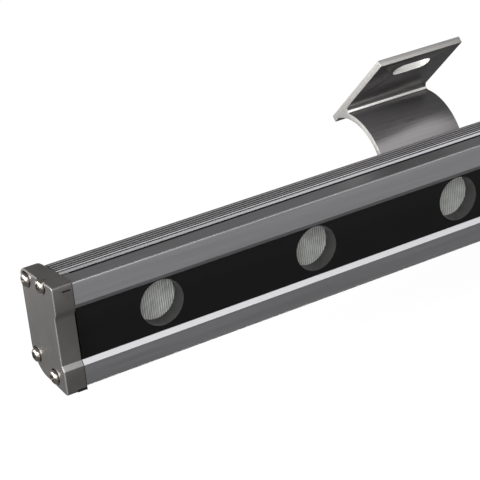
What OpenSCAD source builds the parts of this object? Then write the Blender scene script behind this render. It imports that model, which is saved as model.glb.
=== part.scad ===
// Linear outdoor wall washer light. A long aluminium extrusion holds a row of
// collimated LEDs behind a printed glass pane, and two sliding, tilting
// brackets on its back hold it to a wall. +X runs along the lamp, the light
// leaves towards -Y, and the origin is at the middle of the housing's underside.
// Sections are drawn as (depth behind the front face, height) and run along X.

/* [Housing] */
// Depth of the extrusion, front face to back face
housing_depth = 30; // [29:0.5:36]
// Height of the lower front flange
lower_flange = 9.9; // [9:0.1:11]
// Height of the upper front flange
upper_flange = 10.4; // [9:0.1:12]
// How far the glass stands back from the front face
bevel_depth = 1.75; // [1.2:0.05:2.5]
// Height of the sloping bevel beside the glass
bevel_height = 2.2; // [1.5:0.1:3]
// Radius of the upper back corner
top_corner_r = 6.5; // [5.5:0.1:7.5]
// Radius of the lower back corner
low_corner_r = 12; // [11.5:0.1:12.4]
// Distance from fin groove to fin groove
fin_pitch = 2.05; // [1.8:0.05:2.4]
// Width of a fin groove
fin_gap = 1; // [0.6:0.1:1.2]

/* [Glass] */
// Thickness of the glass pane
glass_t = 3; // [2:0.1:4]
// Thickness of the black print behind the glass
print_t = 0.2; // [0.1:0.05:0.4]
// Thickness of the rubber seal behind the print
seal_t = 1; // [0.6:0.1:1.5]

/* [Lenses] */
// Number of lenses along the lamp
lens_count = 12; // [6:2:16]
// Distance from lens to lens
lens_pitch = 81.4; // [60:0.1:110]
// Distance from the lamp's end to the middle of the first lens
lens_inset = 52.3; // [44:0.1:70]
// Radius of the lens's front disc, which sets the height of the housing
lens_r = 10.75; // [9.5:0.05:14]
// Height of the lens's front face above the circuit board
lens_height = 8; // [7:0.1:10]
// Thickness of the lens's front disc
lens_rim_t = 1.8; // [1:0.1:2.5]
// Distance from rib to rib on the lens's face
rib_pitch = 1.1; // [0.8:0.05:2]
// Wall thickness of the holder round each lens
holder_wall = 1.13; // [0.8:0.01:1.6]

/* [End caps] */
// Thickness of each end cap
cap_t = 9.5; // [8:0.1:12]
// Thickness of the rubber gasket between cap and housing
cap_gasket_t = 0.3; // [0.2:0.1:1.5]
// How far each cap stands below the housing at its front
cap_drop = 1.9; // [1.5:0.1:3]
// How far each cap stands above the housing
cap_rise = 0.5; // [0.2:0.1:0.8]
// How far each cap stands out behind the housing
cap_back_rise = 1.5; // [1:0.1:2]
// Rounding of the edges round the cap's end face
cap_edge_r = 1; // [0.5:0.1:1.5]
// Head radius of the cap screws
cap_screw_head_r = 3.25; // [3:0.05:3.6]
// Shank radius of the cap screws
cap_screw_r = 1.75; // [1.4:0.05:1.75]
// Length of the cap screws below the head
cap_screw_length = 13; // [11:1:30]

/* [Brackets] */
// Length of each bracket along the lamp
bracket_length = 48; // [40:1:70]
// Distance from the lamp's end to the middle of each bracket
bracket_inset = 219; // [100:1:230]
// Wall thickness of the bracket's curved arm
arm_t = 3; // [2.5:0.1:3.4]
// Inside radius of the bracket's curved arm
arm_inner_r = 26; // [24:0.5:32]
// Thickness of the bracket's mounting plate
plate_t = 3.3; // [2.5:0.1:4]
// Length of the mounting plate, edge to edge
plate_length = 58.2; // [50:0.1:75]
// Tilt of the mounting plate from level
plate_tilt = 42; // [35:1:48]
// Width of the slot in the mounting plate
slot_width = 9.2; // [6:0.1:11]
// Length of the slot in the mounting plate
slot_length = 21; // [14:0.5:30]
// Distance from the plate's free edge to the middle of the slot
slot_inset = 12.4; // [9:0.1:20]

/* [Hinge shoes] */
// Radius of the bead along the foot of the arm
bead_r = 4; // [3.2:0.05:4.4]
// Running clearance round the bead
bead_gap = 0.08; // [0.02:0.01:0.1]
// Wall thickness of the socket round the bead
socket_t = 2.2; // [1.8:0.1:2.6]
// Clearance between the shoe and the housing
slide_gap = 0.3; // [0.2:0.05:0.5]
// Height of the mouth of the housing's back track
track_mouth = 6; // [5:0.1:7]
// Height of the housing's back track behind its lips
track_height = 10; // [9:0.1:10.4]
// Height of the middle of the back track above the underside
track_z = 17.4; // [17:0.1:20]

/* [Cable gland] */
// Radius of the gland's threaded shank
gland_r = 6; // [5:0.1:6.4]
// Distance across the flats of the gland's hexagons
gland_flats = 15; // [14:0.5:15]
// Radius of the cable bore in the gland's rubber insert
cable_r = 3; // [2:0.1:3.6]
// Length of the gland's domed nut
dome_length = 11; // [8:0.5:16]

/* [Hidden] */
$fn = 64;
overrun = 1;
touch_gap = 0.3;
close_gap = 0.05;

// Housing section. It is as high as the lens holders, bevels and flanges make it.
front_lip = 0.3;
pane_overlap = 1.5;
channel_shoulder = 1.2;
edge_r = 0.6;
lens_gap = 0.12;
window_r = lens_r + lens_gap;
holder_r = window_r + holder_wall;
holder_gap = 0.55;
cavity_reach = holder_r + holder_gap;
opening_reach = cavity_reach + channel_shoulder - pane_overlap;
housing_height = lower_flange + upper_flange + 2 * (bevel_height + opening_reach);
pane_low = lower_flange + bevel_height - pane_overlap;
pane_high = housing_height - upper_flange - bevel_height + pane_overlap;
pane_back = bevel_depth + glass_t;
print_back = pane_back + print_t;
channel_back = print_back + seal_t;
cavity_low = pane_low + channel_shoulder;
cavity_high = pane_high - channel_shoulder;
window_z = (pane_low + pane_high) / 2;
back_wall_t = 7.5;
cavity_back = housing_depth - back_wall_t;
track_lip = 2;
track_depth = 3.3;
track_front = housing_depth - track_lip - track_depth;
wall_t = 2;
chamber_front = 13.6;
lower_chamber_top = cavity_low - wall_t;
upper_chamber_low = cavity_high + wall_t;
upper_chamber_high = housing_height - 2 * wall_t;
chamber_back = cavity_back;

// Top groove and cooling fins
groove_front = 9.2;
groove_width = 3.4;
groove_depth = 1.9;
groove_chamfer = 0.8;
fin_edge = 0.25;
fin_depth = 1.6;
corner_fin_depth = 1;
first_fin = 14.7;
corner_d = housing_depth - top_corner_r;
corner_z = housing_height - top_corner_r;
top_fins = floor((corner_d - first_fin) / fin_pitch) + 1;
corner_run = top_corner_r * PI / 2;
corner_lead = first_fin + top_fins * fin_pitch - corner_d;
corner_fins = floor((corner_run - corner_lead) / fin_pitch) + 1;
back_lead = corner_lead + corner_fins * fin_pitch - corner_run;
back_fins = 5;

// Lengths along the lamp
lamp_length = (lens_count - 1) * lens_pitch + 2 * lens_inset;
lamp_end = lamp_length / 2;
housing_end = lamp_end - cap_t - cap_gasket_t;
pane_end = housing_end - touch_gap;
lens_end = (lens_count - 1) * lens_pitch / 2;

// Cap screw centres: depth behind the front face and height
port_r = cap_screw_r + close_gap;
groove_port_drop = 2.1;
top_port_drop = 4.1;
top_port_inset = 4.2;
low_front_port_d = 10.2;
low_front_port_z = 3.9;
low_back_port_inset = 3.4;
low_back_port_z = 8.5;
ports = [
    [groove_front + groove_width / 2, housing_height - groove_port_drop],
    [housing_depth - top_port_inset, housing_height - top_port_drop],
    [low_front_port_d, low_front_port_z],
    [housing_depth - low_back_port_inset, low_back_port_z]
];

// End cap
cap_wall = 3;
spotface_gap = 0.65;
cap_spotface_r = cap_screw_head_r + spotface_gap;
cap_spotface_depth = 1;
cap_top_r = 4.1;
cap_low_r = 13;
cap_low_tilt = 5;
cap_front_r = 1.6;
cap_back = housing_depth + cap_back_rise;
cap_top = housing_height + cap_rise;
notch_length = 4.4;
notch_height = 1.6;
notch_depth = 6;
cap_soft_share = 0.3;
cap_pocket_gap = 0.4;
cap_inner_edge = 1;
gasket_inset = 0.5;
tab_gap = 0.1;
tab_back = 0.2;
screw_head_h = 3;
screw_head_side = 1.5;
cross_width = 0.9;
cross_length = 4;
cross_depth = 1.2;

// Circuit boards and what is on them
pad_t = 0.3;
board_t = 1.6;
board_gap = 0.6;
board_end_gap = 2;
board_back = cavity_back - pad_t;
board_front = board_back - board_t;
board_low = cavity_low + touch_gap;
board_high = cavity_high - touch_gap;
board_end = housing_end - board_end_gap;
emitter_side = 3.5;
emitter_h = 0.7;
emitter_dome_r = 1.3;
board_screw_r = 1.5;
board_screw_head_r = 2.8;
board_screw_head_h = 1.6;
board_screw_depth = 4;
board_screw_inset = 5.25;
board_screw_z = board_high - board_screw_inset;
board_screw_step = 2;
chip_length = 6;
chip_width = 5;
chip_h = 1.2;
parts_gap = 9;
parts_reach = holder_r + parts_gap;
parts_drop = 4.5;
coil_r = 3;
coil_h = 3;
link_length = 14;
link_width = 5;
link_h = 3;
link_foot = 4;
link_span_h = 1;
terminal_length = 10;
terminal_width = 12;
terminal_h = 8;
terminal_screw_r = 1.4;
terminal_screw_pitch = 5;
terminal_screw_depth = 1.5;

// Lens and its holder
lens_seat_width = 0.85;
lens_seat_r = lens_r - lens_seat_width;
lens_cone_r = lens_seat_r - touch_gap;
lens_foot_r = 3.6;
lens_pocket_r = 2.7;
lens_pocket_depth = 2.7;
rib_depth = 0.25;
rib_groove = 0.4;
lens_depth = board_front - lens_height;
seat_d = lens_depth + lens_rim_t;

// Hinge socket, arm and plate, as places behind the front face
socket_r = bead_r + bead_gap + socket_t;
hinge_d = housing_depth + slide_gap + socket_r;
hinge_z = track_z;
foot_angle = 25;
arm_outer_r = arm_inner_r + arm_t;
arm_mid_r = arm_inner_r + arm_t / 2;
arc_d = hinge_d + arm_mid_r * cos(foot_angle);
arc_z = hinge_z + arm_mid_r * sin(foot_angle);
plate_sink = 1.7;
plate_offset = arm_inner_r - plate_sink;
plate_tail = 5.1;
plate_free = plate_tail + plate_length;
arm_start_angle = asin((plate_offset + plate_t / 2) / arm_mid_r);
arm_end_angle = foot_angle + plate_tilt;
arm_fillet_r = 2;
arm_fillet_x = sqrt(pow(arm_outer_r + arm_fillet_r, 2) - pow(plate_offset - arm_fillet_r, 2));
arm_fillet_share = arm_outer_r / (arm_outer_r + arm_fillet_r);
arm_corner_x = sqrt(pow(arm_outer_r, 2) - pow(plate_offset, 2));
fillet_sink_share = 0.98;
slot_r = slot_width / 2;

// Shoe
mouth_from = -12;
mouth_to = 142;
shoe_t = 2.5;
shoe_back = housing_depth + slide_gap;
shoe_top = hinge_z + socket_r * sin(mouth_to);
shoe_low = 5.5;
boss_low = 8.6;
boss_r = 3.9;
boss_cover = 0.35;
boss_high = hinge_z - bead_r - bead_gap - boss_cover;
tongue_neck = track_mouth - 2 * slide_gap;
tongue_height = track_height - 2 * slide_gap;
tongue_front = track_front + slide_gap;
tongue_t = track_depth - 2 * slide_gap;
lock_r = 1.95;
lock_z = 9.2;
lock_spread = 16;
lock_hex_r = 1.15;
lock_hex_depth = 1.5;
tilt_head_r = 3.5;
tilt_head_h = 4;
tilt_hex_r = 1.7;
tilt_hex_depth = 2.2;
tilt_tip_gap = 0.2;

// Gland, measured along X from the right cap's end face
gland_d = (channel_back + cavity_back) / 2;
gland_hex_t = 5;
gland_ring_t = 1.2;
gland_ring_r = 8.4;
gland_neck_r = 5.4;
gland_nut_t = 2.6;
locknut_flats = 14;
gland_wall = 1.2;
insert_wall = 1.4;
cable_play = 0.4;
dome_neck_share = 0.62;
dome_end_share = 0.82;
dome_mouth_gap = 0.6;

lens_names = [for (i = [1:lens_count]) str("lens_", i < 10 ? "0" : "", i)];
holder_names = [for (i = [1:lens_count]) str("lens_holder_", i < 10 ? "0" : "", i)];

aluminium = [0.43, 0.43, 0.44];
cap_grey = [0.40, 0.39, 0.38];
bracket_grey = [0.48, 0.48, 0.48];
black_rubber = [0.06, 0.06, 0.06];
print_black = [0.05, 0.05, 0.05];
glass_tint = [0.75, 0.85, 0.85, 0.3];
clear_lens = [0.85, 0.88, 0.88, 0.7];
holder_grey = [0.22, 0.22, 0.22];
steel = [0.75, 0.75, 0.74];
board_white = [0.9, 0.9, 0.88];

// A section in depth and height, run along X from x.
module along_x(x, length) {
    translate([x, -housing_depth / 2, 0])
        rotate([90, 0, 90])
            linear_extrude(length)
                children();
}

// A piece whose own Z axis runs backwards from depth d at height z.
module facing_back(x, d, z) {
    translate([x, -housing_depth / 2 + d, z])
        rotate([-90, 0, 0])
            children();
}

// A piece whose own Z axis runs along +X from depth d at height z.
module facing_right(x, d, z) {
    translate([x, -housing_depth / 2 + d, z])
        rotate([90, 0, 90])
            children();
}

// A corner piece that leaves a quarter round of radius r when it is cut away.
module corner_cut(r) {
    difference() {
        translate([-overrun, -overrun])
            square(r + overrun);
        translate([r, r])
            circle(r);
    }
}

// The housing's outer shape with its two rounded back corners, drawn in by inset.
module rounded_section(inset) {
    low_d = housing_depth - low_corner_r;
    translate([inset, inset])
        square([low_d - inset, housing_height - 2 * inset]);
    translate([inset, low_corner_r])
        square([corner_d - inset, housing_height - low_corner_r - inset]);
    translate([inset, low_corner_r])
        square([housing_depth - 2 * inset, corner_z - low_corner_r]);
    translate([low_d, low_corner_r])
        circle(low_corner_r - inset, $fn = 96);
    translate([corner_d, corner_z])
        circle(top_corner_r - inset);
}

module housing_outline() {
    difference() {
        rounded_section(0);
        corner_cut(edge_r);
        translate([0, housing_height])
            mirror([0, 1])
                corner_cut(edge_r);
    }
}

// The bevelled recess that both the housing and the caps have in front.
module front_recess(land) {
    polygon([
        [-overrun, lower_flange],
        [0, lower_flange],
        [bevel_depth - land, lower_flange + bevel_height],
        [bevel_depth, lower_flange + bevel_height],
        [bevel_depth, housing_height - upper_flange - bevel_height],
        [bevel_depth - land, housing_height - upper_flange - bevel_height],
        [0, housing_height - upper_flange],
        [-overrun, housing_height - upper_flange]
    ]);
}

// A fin groove with its two top edges broken at 45 degrees.
module fin_cut(depth) {
    half_gap = fin_gap / 2;
    flare = half_gap + fin_edge + overrun;
    polygon([
        [-depth, -half_gap],
        [-fin_edge, -half_gap],
        [overrun, -flare],
        [overrun, flare],
        [-fin_edge, half_gap],
        [-depth, half_gap]
    ]);
}

module fin_grooves() {
    for (i = [0:top_fins - 1])
        translate([first_fin + i * fin_pitch, housing_height])
            rotate(90)
                fin_cut(fin_depth);
    for (i = [0:corner_fins - 1])
        translate([corner_d, corner_z])
            rotate(90 - (corner_lead + i * fin_pitch) / corner_run * 90)
                translate([top_corner_r, 0])
                    fin_cut(corner_fin_depth);
    for (i = [0:back_fins - 1])
        translate([housing_depth, corner_z - back_lead - i * fin_pitch])
            fin_cut(fin_depth);
}

module top_groove() {
    groove_end = groove_front + groove_width;
    polygon([
        [groove_front, housing_height + overrun],
        [groove_front, housing_height - groove_depth],
        [groove_end, housing_height - groove_depth],
        [groove_end, housing_height - groove_chamfer],
        [groove_end + groove_chamfer + overrun, housing_height + overrun]
    ]);
}

module back_track() {
    translate([track_front, track_z - track_height / 2])
        square([track_depth, track_height]);
    translate([track_front, track_z - track_mouth / 2])
        square([track_depth + track_lip + overrun, track_mouth]);
}

module housing_hollows() {
    translate([bevel_depth, pane_low])
        square([channel_back - bevel_depth, pane_high - pane_low]);
    translate([channel_back - overrun, cavity_low])
        square([cavity_back - channel_back + overrun, cavity_high - cavity_low]);
    translate([chamber_front, wall_t])
        square([chamber_back - chamber_front, lower_chamber_top - wall_t]);
    translate([chamber_front, upper_chamber_low])
        square([chamber_back - chamber_front, upper_chamber_high - upper_chamber_low]);
}

module housing() {
    color(aluminium)
        difference() {
            along_x(-housing_end, 2 * housing_end)
                difference() {
                    housing_outline();
                    front_recess(front_lip);
                    housing_hollows();
                    top_groove();
                    fin_grooves();
                    back_track();
                }
            for (p = ports)
                facing_right(-housing_end - overrun, p[0], p[1])
                    cylinder(r = port_r, h = 2 * (housing_end + overrun));
            for (x = board_screw_xs)
                facing_back(x, cavity_back - overrun, board_screw_z)
                    cylinder(r = board_screw_r + close_gap, h = board_screw_depth + overrun);
        }
}

// End caps. A cap is drawn with its end face at X = 0 and its body towards +X.
// Each corner is the centre of its rounding, the radius, and how much its edge
// beside the housing is broken. The underside slopes up towards the back.
cap_low_d = cap_back - cap_low_r;
cap_low_z = -cap_drop + cap_low_d * tan(cap_low_tilt) + cap_low_r / cos(cap_low_tilt);
cap_corners = [
    [cap_front_r, cap_front_r - cap_drop, cap_front_r, 0],
    [cap_front_r, cap_top - cap_front_r, cap_front_r, 0],
    [cap_low_d, cap_low_z, cap_low_r, cap_inner_edge],
    [cap_back - cap_top_r, cap_top - cap_top_r, cap_top_r, cap_inner_edge]
];

// One corner post of the cap, with the rounded edge at its outer end.
module cap_post(d, z, r, inner_edge) {
    inner = inner_edge > 0 ? [[r, cap_t - inner_edge], [r - inner_edge, cap_t]] : [[r, cap_t]];
    translate([0, d, z])
        rotate([0, 90, 0])
            rotate_extrude($fn = 48)
                polygon(concat(
                    [
                        [0, 0],
                        [r - cap_edge_r, 0],
                        [r - cap_soft_share * cap_edge_r, cap_soft_share * cap_edge_r],
                        [r, cap_edge_r]
                    ],
                    inner,
                    [[0, cap_t]]
                ));
}

module cap_block() {
    hull()
        for (c = cap_corners)
            cap_post(c[0], c[1], c[2], c[3]);
}

module cap_section(x, length) {
    translate([x, 0, 0])
        rotate([90, 0, 90])
            linear_extrude(length)
                children();
}

module cap_pocket() {
    translate([channel_back + cap_pocket_gap, cavity_low + cap_pocket_gap])
        square([
            cavity_back - channel_back - 2 * cap_pocket_gap,
            cavity_high - cavity_low - 2 * cap_pocket_gap
        ]);
}

module end_cap() {
    difference() {
        cap_block();
        cap_section(-overrun, cap_t + 2 * overrun)
            front_recess(0);
        cap_section(cap_wall, cap_t)
            cap_pocket();
        cap_section(cap_t - notch_length, cap_t)
            translate([-overrun, -notch_height - cap_drop])
                square([notch_depth + overrun, 2 * notch_height]);
        for (p = ports)
            translate([0, p[0], p[1]])
                rotate([0, 90, 0]) {
                    translate([0, 0, -overrun])
                        cylinder(r = port_r, h = cap_t + 2 * overrun);
                    translate([0, 0, -overrun])
                        cylinder(r = cap_spotface_r, h = cap_spotface_depth + overrun);
                }
    }
}

module left_place() {
    translate([-lamp_end, -housing_depth / 2, 0])
        children();
}

module right_place() {
    mirror([1, 0, 0])
        left_place()
            children();
}

module left_end_cap() {
    color(cap_grey)
        left_place()
            end_cap();
}

module right_end_cap() {
    color(cap_grey)
        right_place()
            difference() {
                end_cap();
                translate([-overrun, gland_d, window_z])
                    rotate([0, 90, 0])
                        cylinder(r = gland_r + close_gap, h = cap_wall + 2 * overrun);
                translate([cap_wall, gland_d, window_z])
                    rotate([90, 0, 90])
                        hexagon(locknut_flats + 2 * touch_gap, cap_t);
            }
}

// The gasket follows the housing's outline, a little inside it. A lip on it fills
// the notch under the cap's front.
module cap_gasket() {
    lip_low = tab_gap - cap_drop;
    lip_high = notch_height - cap_drop - tab_gap;
    lip_length = notch_length - tab_gap;
    color(black_rubber)
        difference() {
            union() {
                cap_section(cap_t, cap_gasket_t)
                    difference() {
                        union() {
                            rounded_section(gasket_inset);
                            translate([tab_back, lip_low])
                                square([notch_depth - tab_back, wall_t - lip_low]);
                        }
                        translate([gasket_inset, 0])
                            front_recess(0);
                        cap_pocket();
                    }
                cap_section(cap_t - lip_length, lip_length + cap_gasket_t / 2)
                    translate([tab_back + tab_gap, lip_low + tab_gap])
                        square([notch_depth - tab_back - 2 * tab_gap, lip_high - lip_low - tab_gap]);
            }
            for (p = ports)
                translate([cap_t - overrun, p[0], p[1]])
                    rotate([0, 90, 0])
                        cylinder(r = port_r, h = cap_gasket_t + 2 * overrun);
        }
}

module left_cap_gasket() {
    left_place()
        cap_gasket();
}

module right_cap_gasket() {
    right_place()
        cap_gasket();
}

// A pan head screw with a cross recess. Its head stands on Z = 0, above it.
module pan_screw(r, length, head_r, head_h) {
    dome_r = (head_r * head_r + pow(head_h - screw_head_side, 2)) / (2 * (head_h - screw_head_side));
    difference() {
        union() {
            translate([0, 0, -length])
                cylinder(r = r, h = length);
            cylinder(r = head_r, h = screw_head_side);
            intersection() {
                translate([0, 0, head_h - dome_r])
                    sphere(dome_r);
                translate([0, 0, screw_head_side])
                    cylinder(r = head_r, h = head_h);
            }
        }
        for (turn = [0, 90])
            rotate(turn)
                translate([-cross_length / 2, -cross_width / 2, head_h - cross_depth])
                    cube([cross_length, cross_width, cross_depth + overrun]);
    }
}

module cap_screws() {
    color(steel)
        for (p = ports)
            translate([cap_spotface_depth, p[0], p[1]])
                rotate([0, -90, 0])
                    pan_screw(cap_screw_r, cap_screw_length, cap_screw_head_r, screw_head_h);
}

module left_cap_screws() {
    left_place()
        cap_screws();
}

module right_cap_screws() {
    right_place()
        cap_screws();
}

// Pane, print and seal lie one behind the other in the housing's channel.
module front_glass() {
    color(glass_tint)
        along_x(-pane_end, 2 * pane_end)
            translate([bevel_depth, pane_low])
                square([glass_t, pane_high - pane_low]);
}

function lens_x(i) = -lens_end + i * lens_pitch;

module window_print() {
    color(print_black)
        difference() {
            along_x(-pane_end, 2 * pane_end)
                translate([pane_back, pane_low])
                    square([print_t, pane_high - pane_low]);
            for (i = [0:lens_count - 1])
                facing_back(lens_x(i), pane_back - overrun, window_z)
                    cylinder(r = window_r, h = print_t + 2 * overrun);
        }
}

module glass_seal() {
    seal_end = pane_end - channel_shoulder;
    color(black_rubber)
        difference() {
            along_x(-pane_end, 2 * pane_end)
                translate([print_back, pane_low])
                    square([seal_t, pane_high - pane_low]);
            along_x(-seal_end, 2 * seal_end)
                translate([print_back - overrun, cavity_low])
                    square([seal_t + 2 * overrun, cavity_high - cavity_low]);
        }
}

// A collimator lens: ribbed front disc, cone behind it and a pocket for the LED.
module lens(i) {
    rib_count = floor(lens_r / rib_pitch);
    cone_h = board_front - touch_gap - seat_d;
    color(clear_lens)
        facing_back(lens_x(i), lens_depth, window_z)
            difference() {
                union() {
                    cylinder(r = lens_r, h = lens_rim_t);
                    translate([0, 0, lens_rim_t])
                        cylinder(r1 = lens_cone_r, r2 = lens_foot_r, h = cone_h);
                }
                for (k = [-rib_count:rib_count])
                    translate([k * rib_pitch - rib_groove / 2, -lens_r, -rib_depth])
                        cube([rib_groove, 2 * lens_r, 2 * rib_depth]);
                translate([0, 0, lens_rim_t + cone_h - lens_pocket_depth])
                    cylinder(r = lens_pocket_r, h = lens_pocket_depth + overrun);
            }
}

// The holder's front bore is the dark hood that shows round the lens.
module lens_holder(i) {
    color(holder_grey)
        facing_back(lens_x(i), print_back, window_z)
            difference() {
                cylinder(r = holder_r, h = board_front - print_back);
                translate([0, 0, -overrun])
                    cylinder(r = window_r, h = seat_d - print_back + overrun);
                cylinder(r = lens_seat_r, h = board_front);
            }
}

// The two boards meet at the middle of the lamp. side is -1 or 1.
board_length = board_end - board_gap / 2;
half_count = floor(lens_count / 2);

module board_strip(side, front, thickness) {
    from = side < 0 ? -board_end : board_gap / 2;
    along_x(from, board_length)
        translate([front, board_low])
            square([thickness, board_high - board_low]);
}

board_screw_xs = [
    for (s = [-1, 1])
        for (i = [0:board_screw_step:half_count - 2])
            s * (lens_end - (i + 1 / 2) * lens_pitch)
];

module led_board(side) {
    color(board_white)
        difference() {
            board_strip(side, board_front, board_t);
            for (x = board_screw_xs)
                facing_back(x, board_front - overrun, board_screw_z)
                    cylinder(r = board_screw_r + close_gap, h = board_t + 2 * overrun);
        }
}

module thermal_pad(side) {
    color([0.6, 0.62, 0.66])
        difference() {
            board_strip(side, board_back, pad_t);
            for (x = board_screw_xs)
                facing_back(x, board_back - overrun, board_screw_z)
                    cylinder(r = board_screw_r + close_gap, h = pad_t + 2 * overrun);
        }
}

module board_screws() {
    color(steel)
        for (x = board_screw_xs)
            facing_back(x, board_front, board_screw_z)
                rotate([180, 0, 0])
                    pan_screw(
                        board_screw_r,
                        board_t + pad_t + board_screw_depth - touch_gap,
                        board_screw_head_r,
                        board_screw_head_h
                    );
}

function side_lenses(side) = side < 0 ? [0:half_count - 1] : [half_count:lens_count - 1];

module led_emitters(side) {
    color([0.95, 0.9, 0.5])
        for (i = side_lenses(side))
            facing_back(lens_x(i), board_front, window_z) {
                translate([-emitter_side / 2, -emitter_side / 2, -emitter_h])
                    cube([emitter_side, emitter_side, emitter_h]);
                translate([0, 0, -emitter_h])
                    difference() {
                        sphere(emitter_dome_r);
                        translate([-emitter_side, -emitter_side, 0])
                            cube(2 * emitter_side);
                    }
            }
}

// A driver chip and a coil stand between neighbouring lenses.
module drive_parts(side) {
    color([0.12, 0.12, 0.13])
        for (i = side_lenses(side))
            facing_back(lens_x(i) - side * parts_reach, board_front, window_z - parts_drop) {
                translate([-chip_length / 2, -chip_width / 2, -chip_h])
                    cube([chip_length, chip_width, chip_h]);
                translate([-side * (chip_length + coil_r), 0, -coil_h])
                    cylinder(r = coil_r, h = coil_h);
            }
}

module board_link() {
    color([0.92, 0.92, 0.88])
        along_x(-link_length / 2, link_length)
            translate([board_front - link_h, board_low + wall_t])
                difference() {
                    square([link_h, link_width]);
                    translate([-overrun, link_width / 2 - link_span_h / 2])
                        square([link_span_h + overrun, link_span_h]);
                }
}

module input_terminal() {
    color([0.2, 0.35, 0.25])
        difference() {
            along_x(board_end - terminal_length, terminal_length)
                translate([board_front - terminal_h, window_z - terminal_width / 2])
                    square([terminal_h, terminal_width]);
            for (s = [-1, 1])
                facing_back(
                    board_end - terminal_length / 2,
                    board_front - terminal_h - overrun,
                    window_z + s * terminal_screw_pitch / 2
                )
                    cylinder(r = terminal_screw_r, h = terminal_screw_depth + overrun);
        }
}

// Cable gland on the right cap. Its own Z axis is +X, from the cap's end face.
module gland_place() {
    facing_right(lamp_end, gland_d, window_z)
        children();
}

module hexagon(flats, h) {
    rotate(90)
        cylinder(d = flats / cos(30), h = h, $fn = 6);
}

module gland_ring() {
    color(black_rubber)
        gland_place()
            difference() {
                cylinder(r = gland_ring_r - close_gap, h = gland_ring_t);
                translate([0, 0, -overrun])
                    cylinder(r = gland_r + close_gap, h = gland_ring_t + 2 * overrun);
            }
}

insert_r = cable_r + insert_wall;
gland_body_end = gland_ring_t + gland_hex_t + dome_length * dome_neck_share;

module gland_body() {
    inner_end = cap_wall + gland_nut_t + gland_wall;
    color(steel)
        gland_place()
            difference() {
                union() {
                    translate([0, 0, -inner_end])
                        cylinder(r = gland_r, h = inner_end + gland_ring_t);
                    translate([0, 0, gland_ring_t])
                        hexagon(gland_flats, gland_hex_t);
                    translate([0, 0, gland_ring_t])
                        cylinder(r = gland_neck_r, h = gland_body_end - gland_ring_t);
                }
                translate([0, 0, -inner_end - overrun])
                    cylinder(r = cable_r + cable_play, h = inner_end + gland_body_end + 2 * overrun);
                translate([0, 0, gland_ring_t + gland_hex_t])
                    cylinder(r = insert_r, h = gland_body_end);
            }
}

module gland_locknut() {
    color(steel)
        gland_place()
            translate([0, 0, -cap_wall - gland_nut_t])
                difference() {
                    hexagon(locknut_flats, gland_nut_t);
                    translate([0, 0, -overrun])
                        cylinder(r = gland_r + close_gap, h = gland_nut_t + 2 * overrun);
                }
}

// The rubber insert grips the cable. Its bore is open for a cable.
module gland_insert() {
    start = gland_ring_t + gland_hex_t;
    finish = start + dome_length - gland_wall;
    color(black_rubber)
        gland_place()
            difference() {
                translate([0, 0, start])
                    cylinder(r = insert_r - close_gap, h = finish - start);
                translate([0, 0, start - overrun])
                    cylinder(r = cable_r, h = finish - start + 2 * overrun);
            }
}

module gland_dome() {
    start = gland_ring_t + gland_hex_t;
    straight = dome_length * dome_neck_share;
    color(steel)
        gland_place()
            translate([0, 0, start])
                difference() {
                    union() {
                        hexagon(gland_flats, straight);
                        translate([0, 0, straight])
                            cylinder(
                                r1 = gland_flats / 2,
                                r2 = gland_flats / 2 * dome_end_share,
                                h = dome_length - straight
                            );
                    }
                    translate([0, 0, -overrun])
                        cylinder(r = gland_neck_r + close_gap, h = straight + overrun + close_gap);
                    cylinder(r = insert_r, h = dome_length - gland_wall);
                    cylinder(r = cable_r + dome_mouth_gap, h = dome_length + overrun);
                }
}

// Brackets. side is -1 for the left one and 1 for the right one.
function bracket_x(side) = side * (lamp_end - bracket_inset);

module arc_section(side) {
    translate([bracket_x(side) - bracket_length / 2, -housing_depth / 2 + arc_d, arc_z])
        rotate([180 - plate_tilt, 0, 0])
            rotate([90, 0, 90])
                linear_extrude(bracket_length)
                    children();
}

module wedge(reach, from, to) {
    steps = 4;
    polygon(concat(
        [[0, 0]],
        [for (k = [0:steps]) let (a = from + (to - from) * k / steps) [reach * cos(a), reach * sin(a)]]
    ));
}

module arm_fillet() {
    fillet_y = -plate_offset + arm_fillet_r;
    difference() {
        polygon([
            [arm_corner_x * fillet_sink_share, -plate_offset * fillet_sink_share],
            [arm_corner_x, -plate_offset - plate_t / 2],
            [arm_fillet_x, -plate_offset],
            [arm_fillet_x, fillet_y],
            [arm_fillet_x * arm_fillet_share, fillet_y * arm_fillet_share]
        ]);
        translate([arm_fillet_x, fillet_y])
            circle(arm_fillet_r);
    }
}

// Around the arc's centre: curved arm, bead at its foot and flat plate.
module bracket_profile() {
    intersection() {
        difference() {
            circle(arm_outer_r, $fn = 128);
            circle(arm_inner_r, $fn = 128);
        }
        wedge(2 * arm_outer_r, -arm_start_angle, arm_end_angle);
    }
    rotate(arm_end_angle)
        translate([arm_mid_r, 0])
            circle(bead_r);
    translate([plate_tail, -plate_offset - plate_t])
        square([plate_length, plate_t]);
    arm_fillet();
}

module bracket(side) {
    slot_reach = slot_length / 2 - slot_r;
    color(bracket_grey)
        difference() {
            arc_section(side)
                bracket_profile();
            translate([bracket_x(side), -housing_depth / 2 + arc_d, arc_z])
                rotate([180 - plate_tilt, 0, 0])
                    translate([0, plate_free - slot_inset, -plate_offset - plate_t - overrun]) {
                        for (s = [-1, 1])
                            translate([s * slot_reach, 0, 0])
                                cylinder(r = slot_r, h = plate_t + 2 * overrun);
                        translate([-slot_reach, -slot_r, 0])
                            cube([2 * slot_reach, 2 * slot_r, plate_t + 2 * overrun]);
                    }
        }
}

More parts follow.
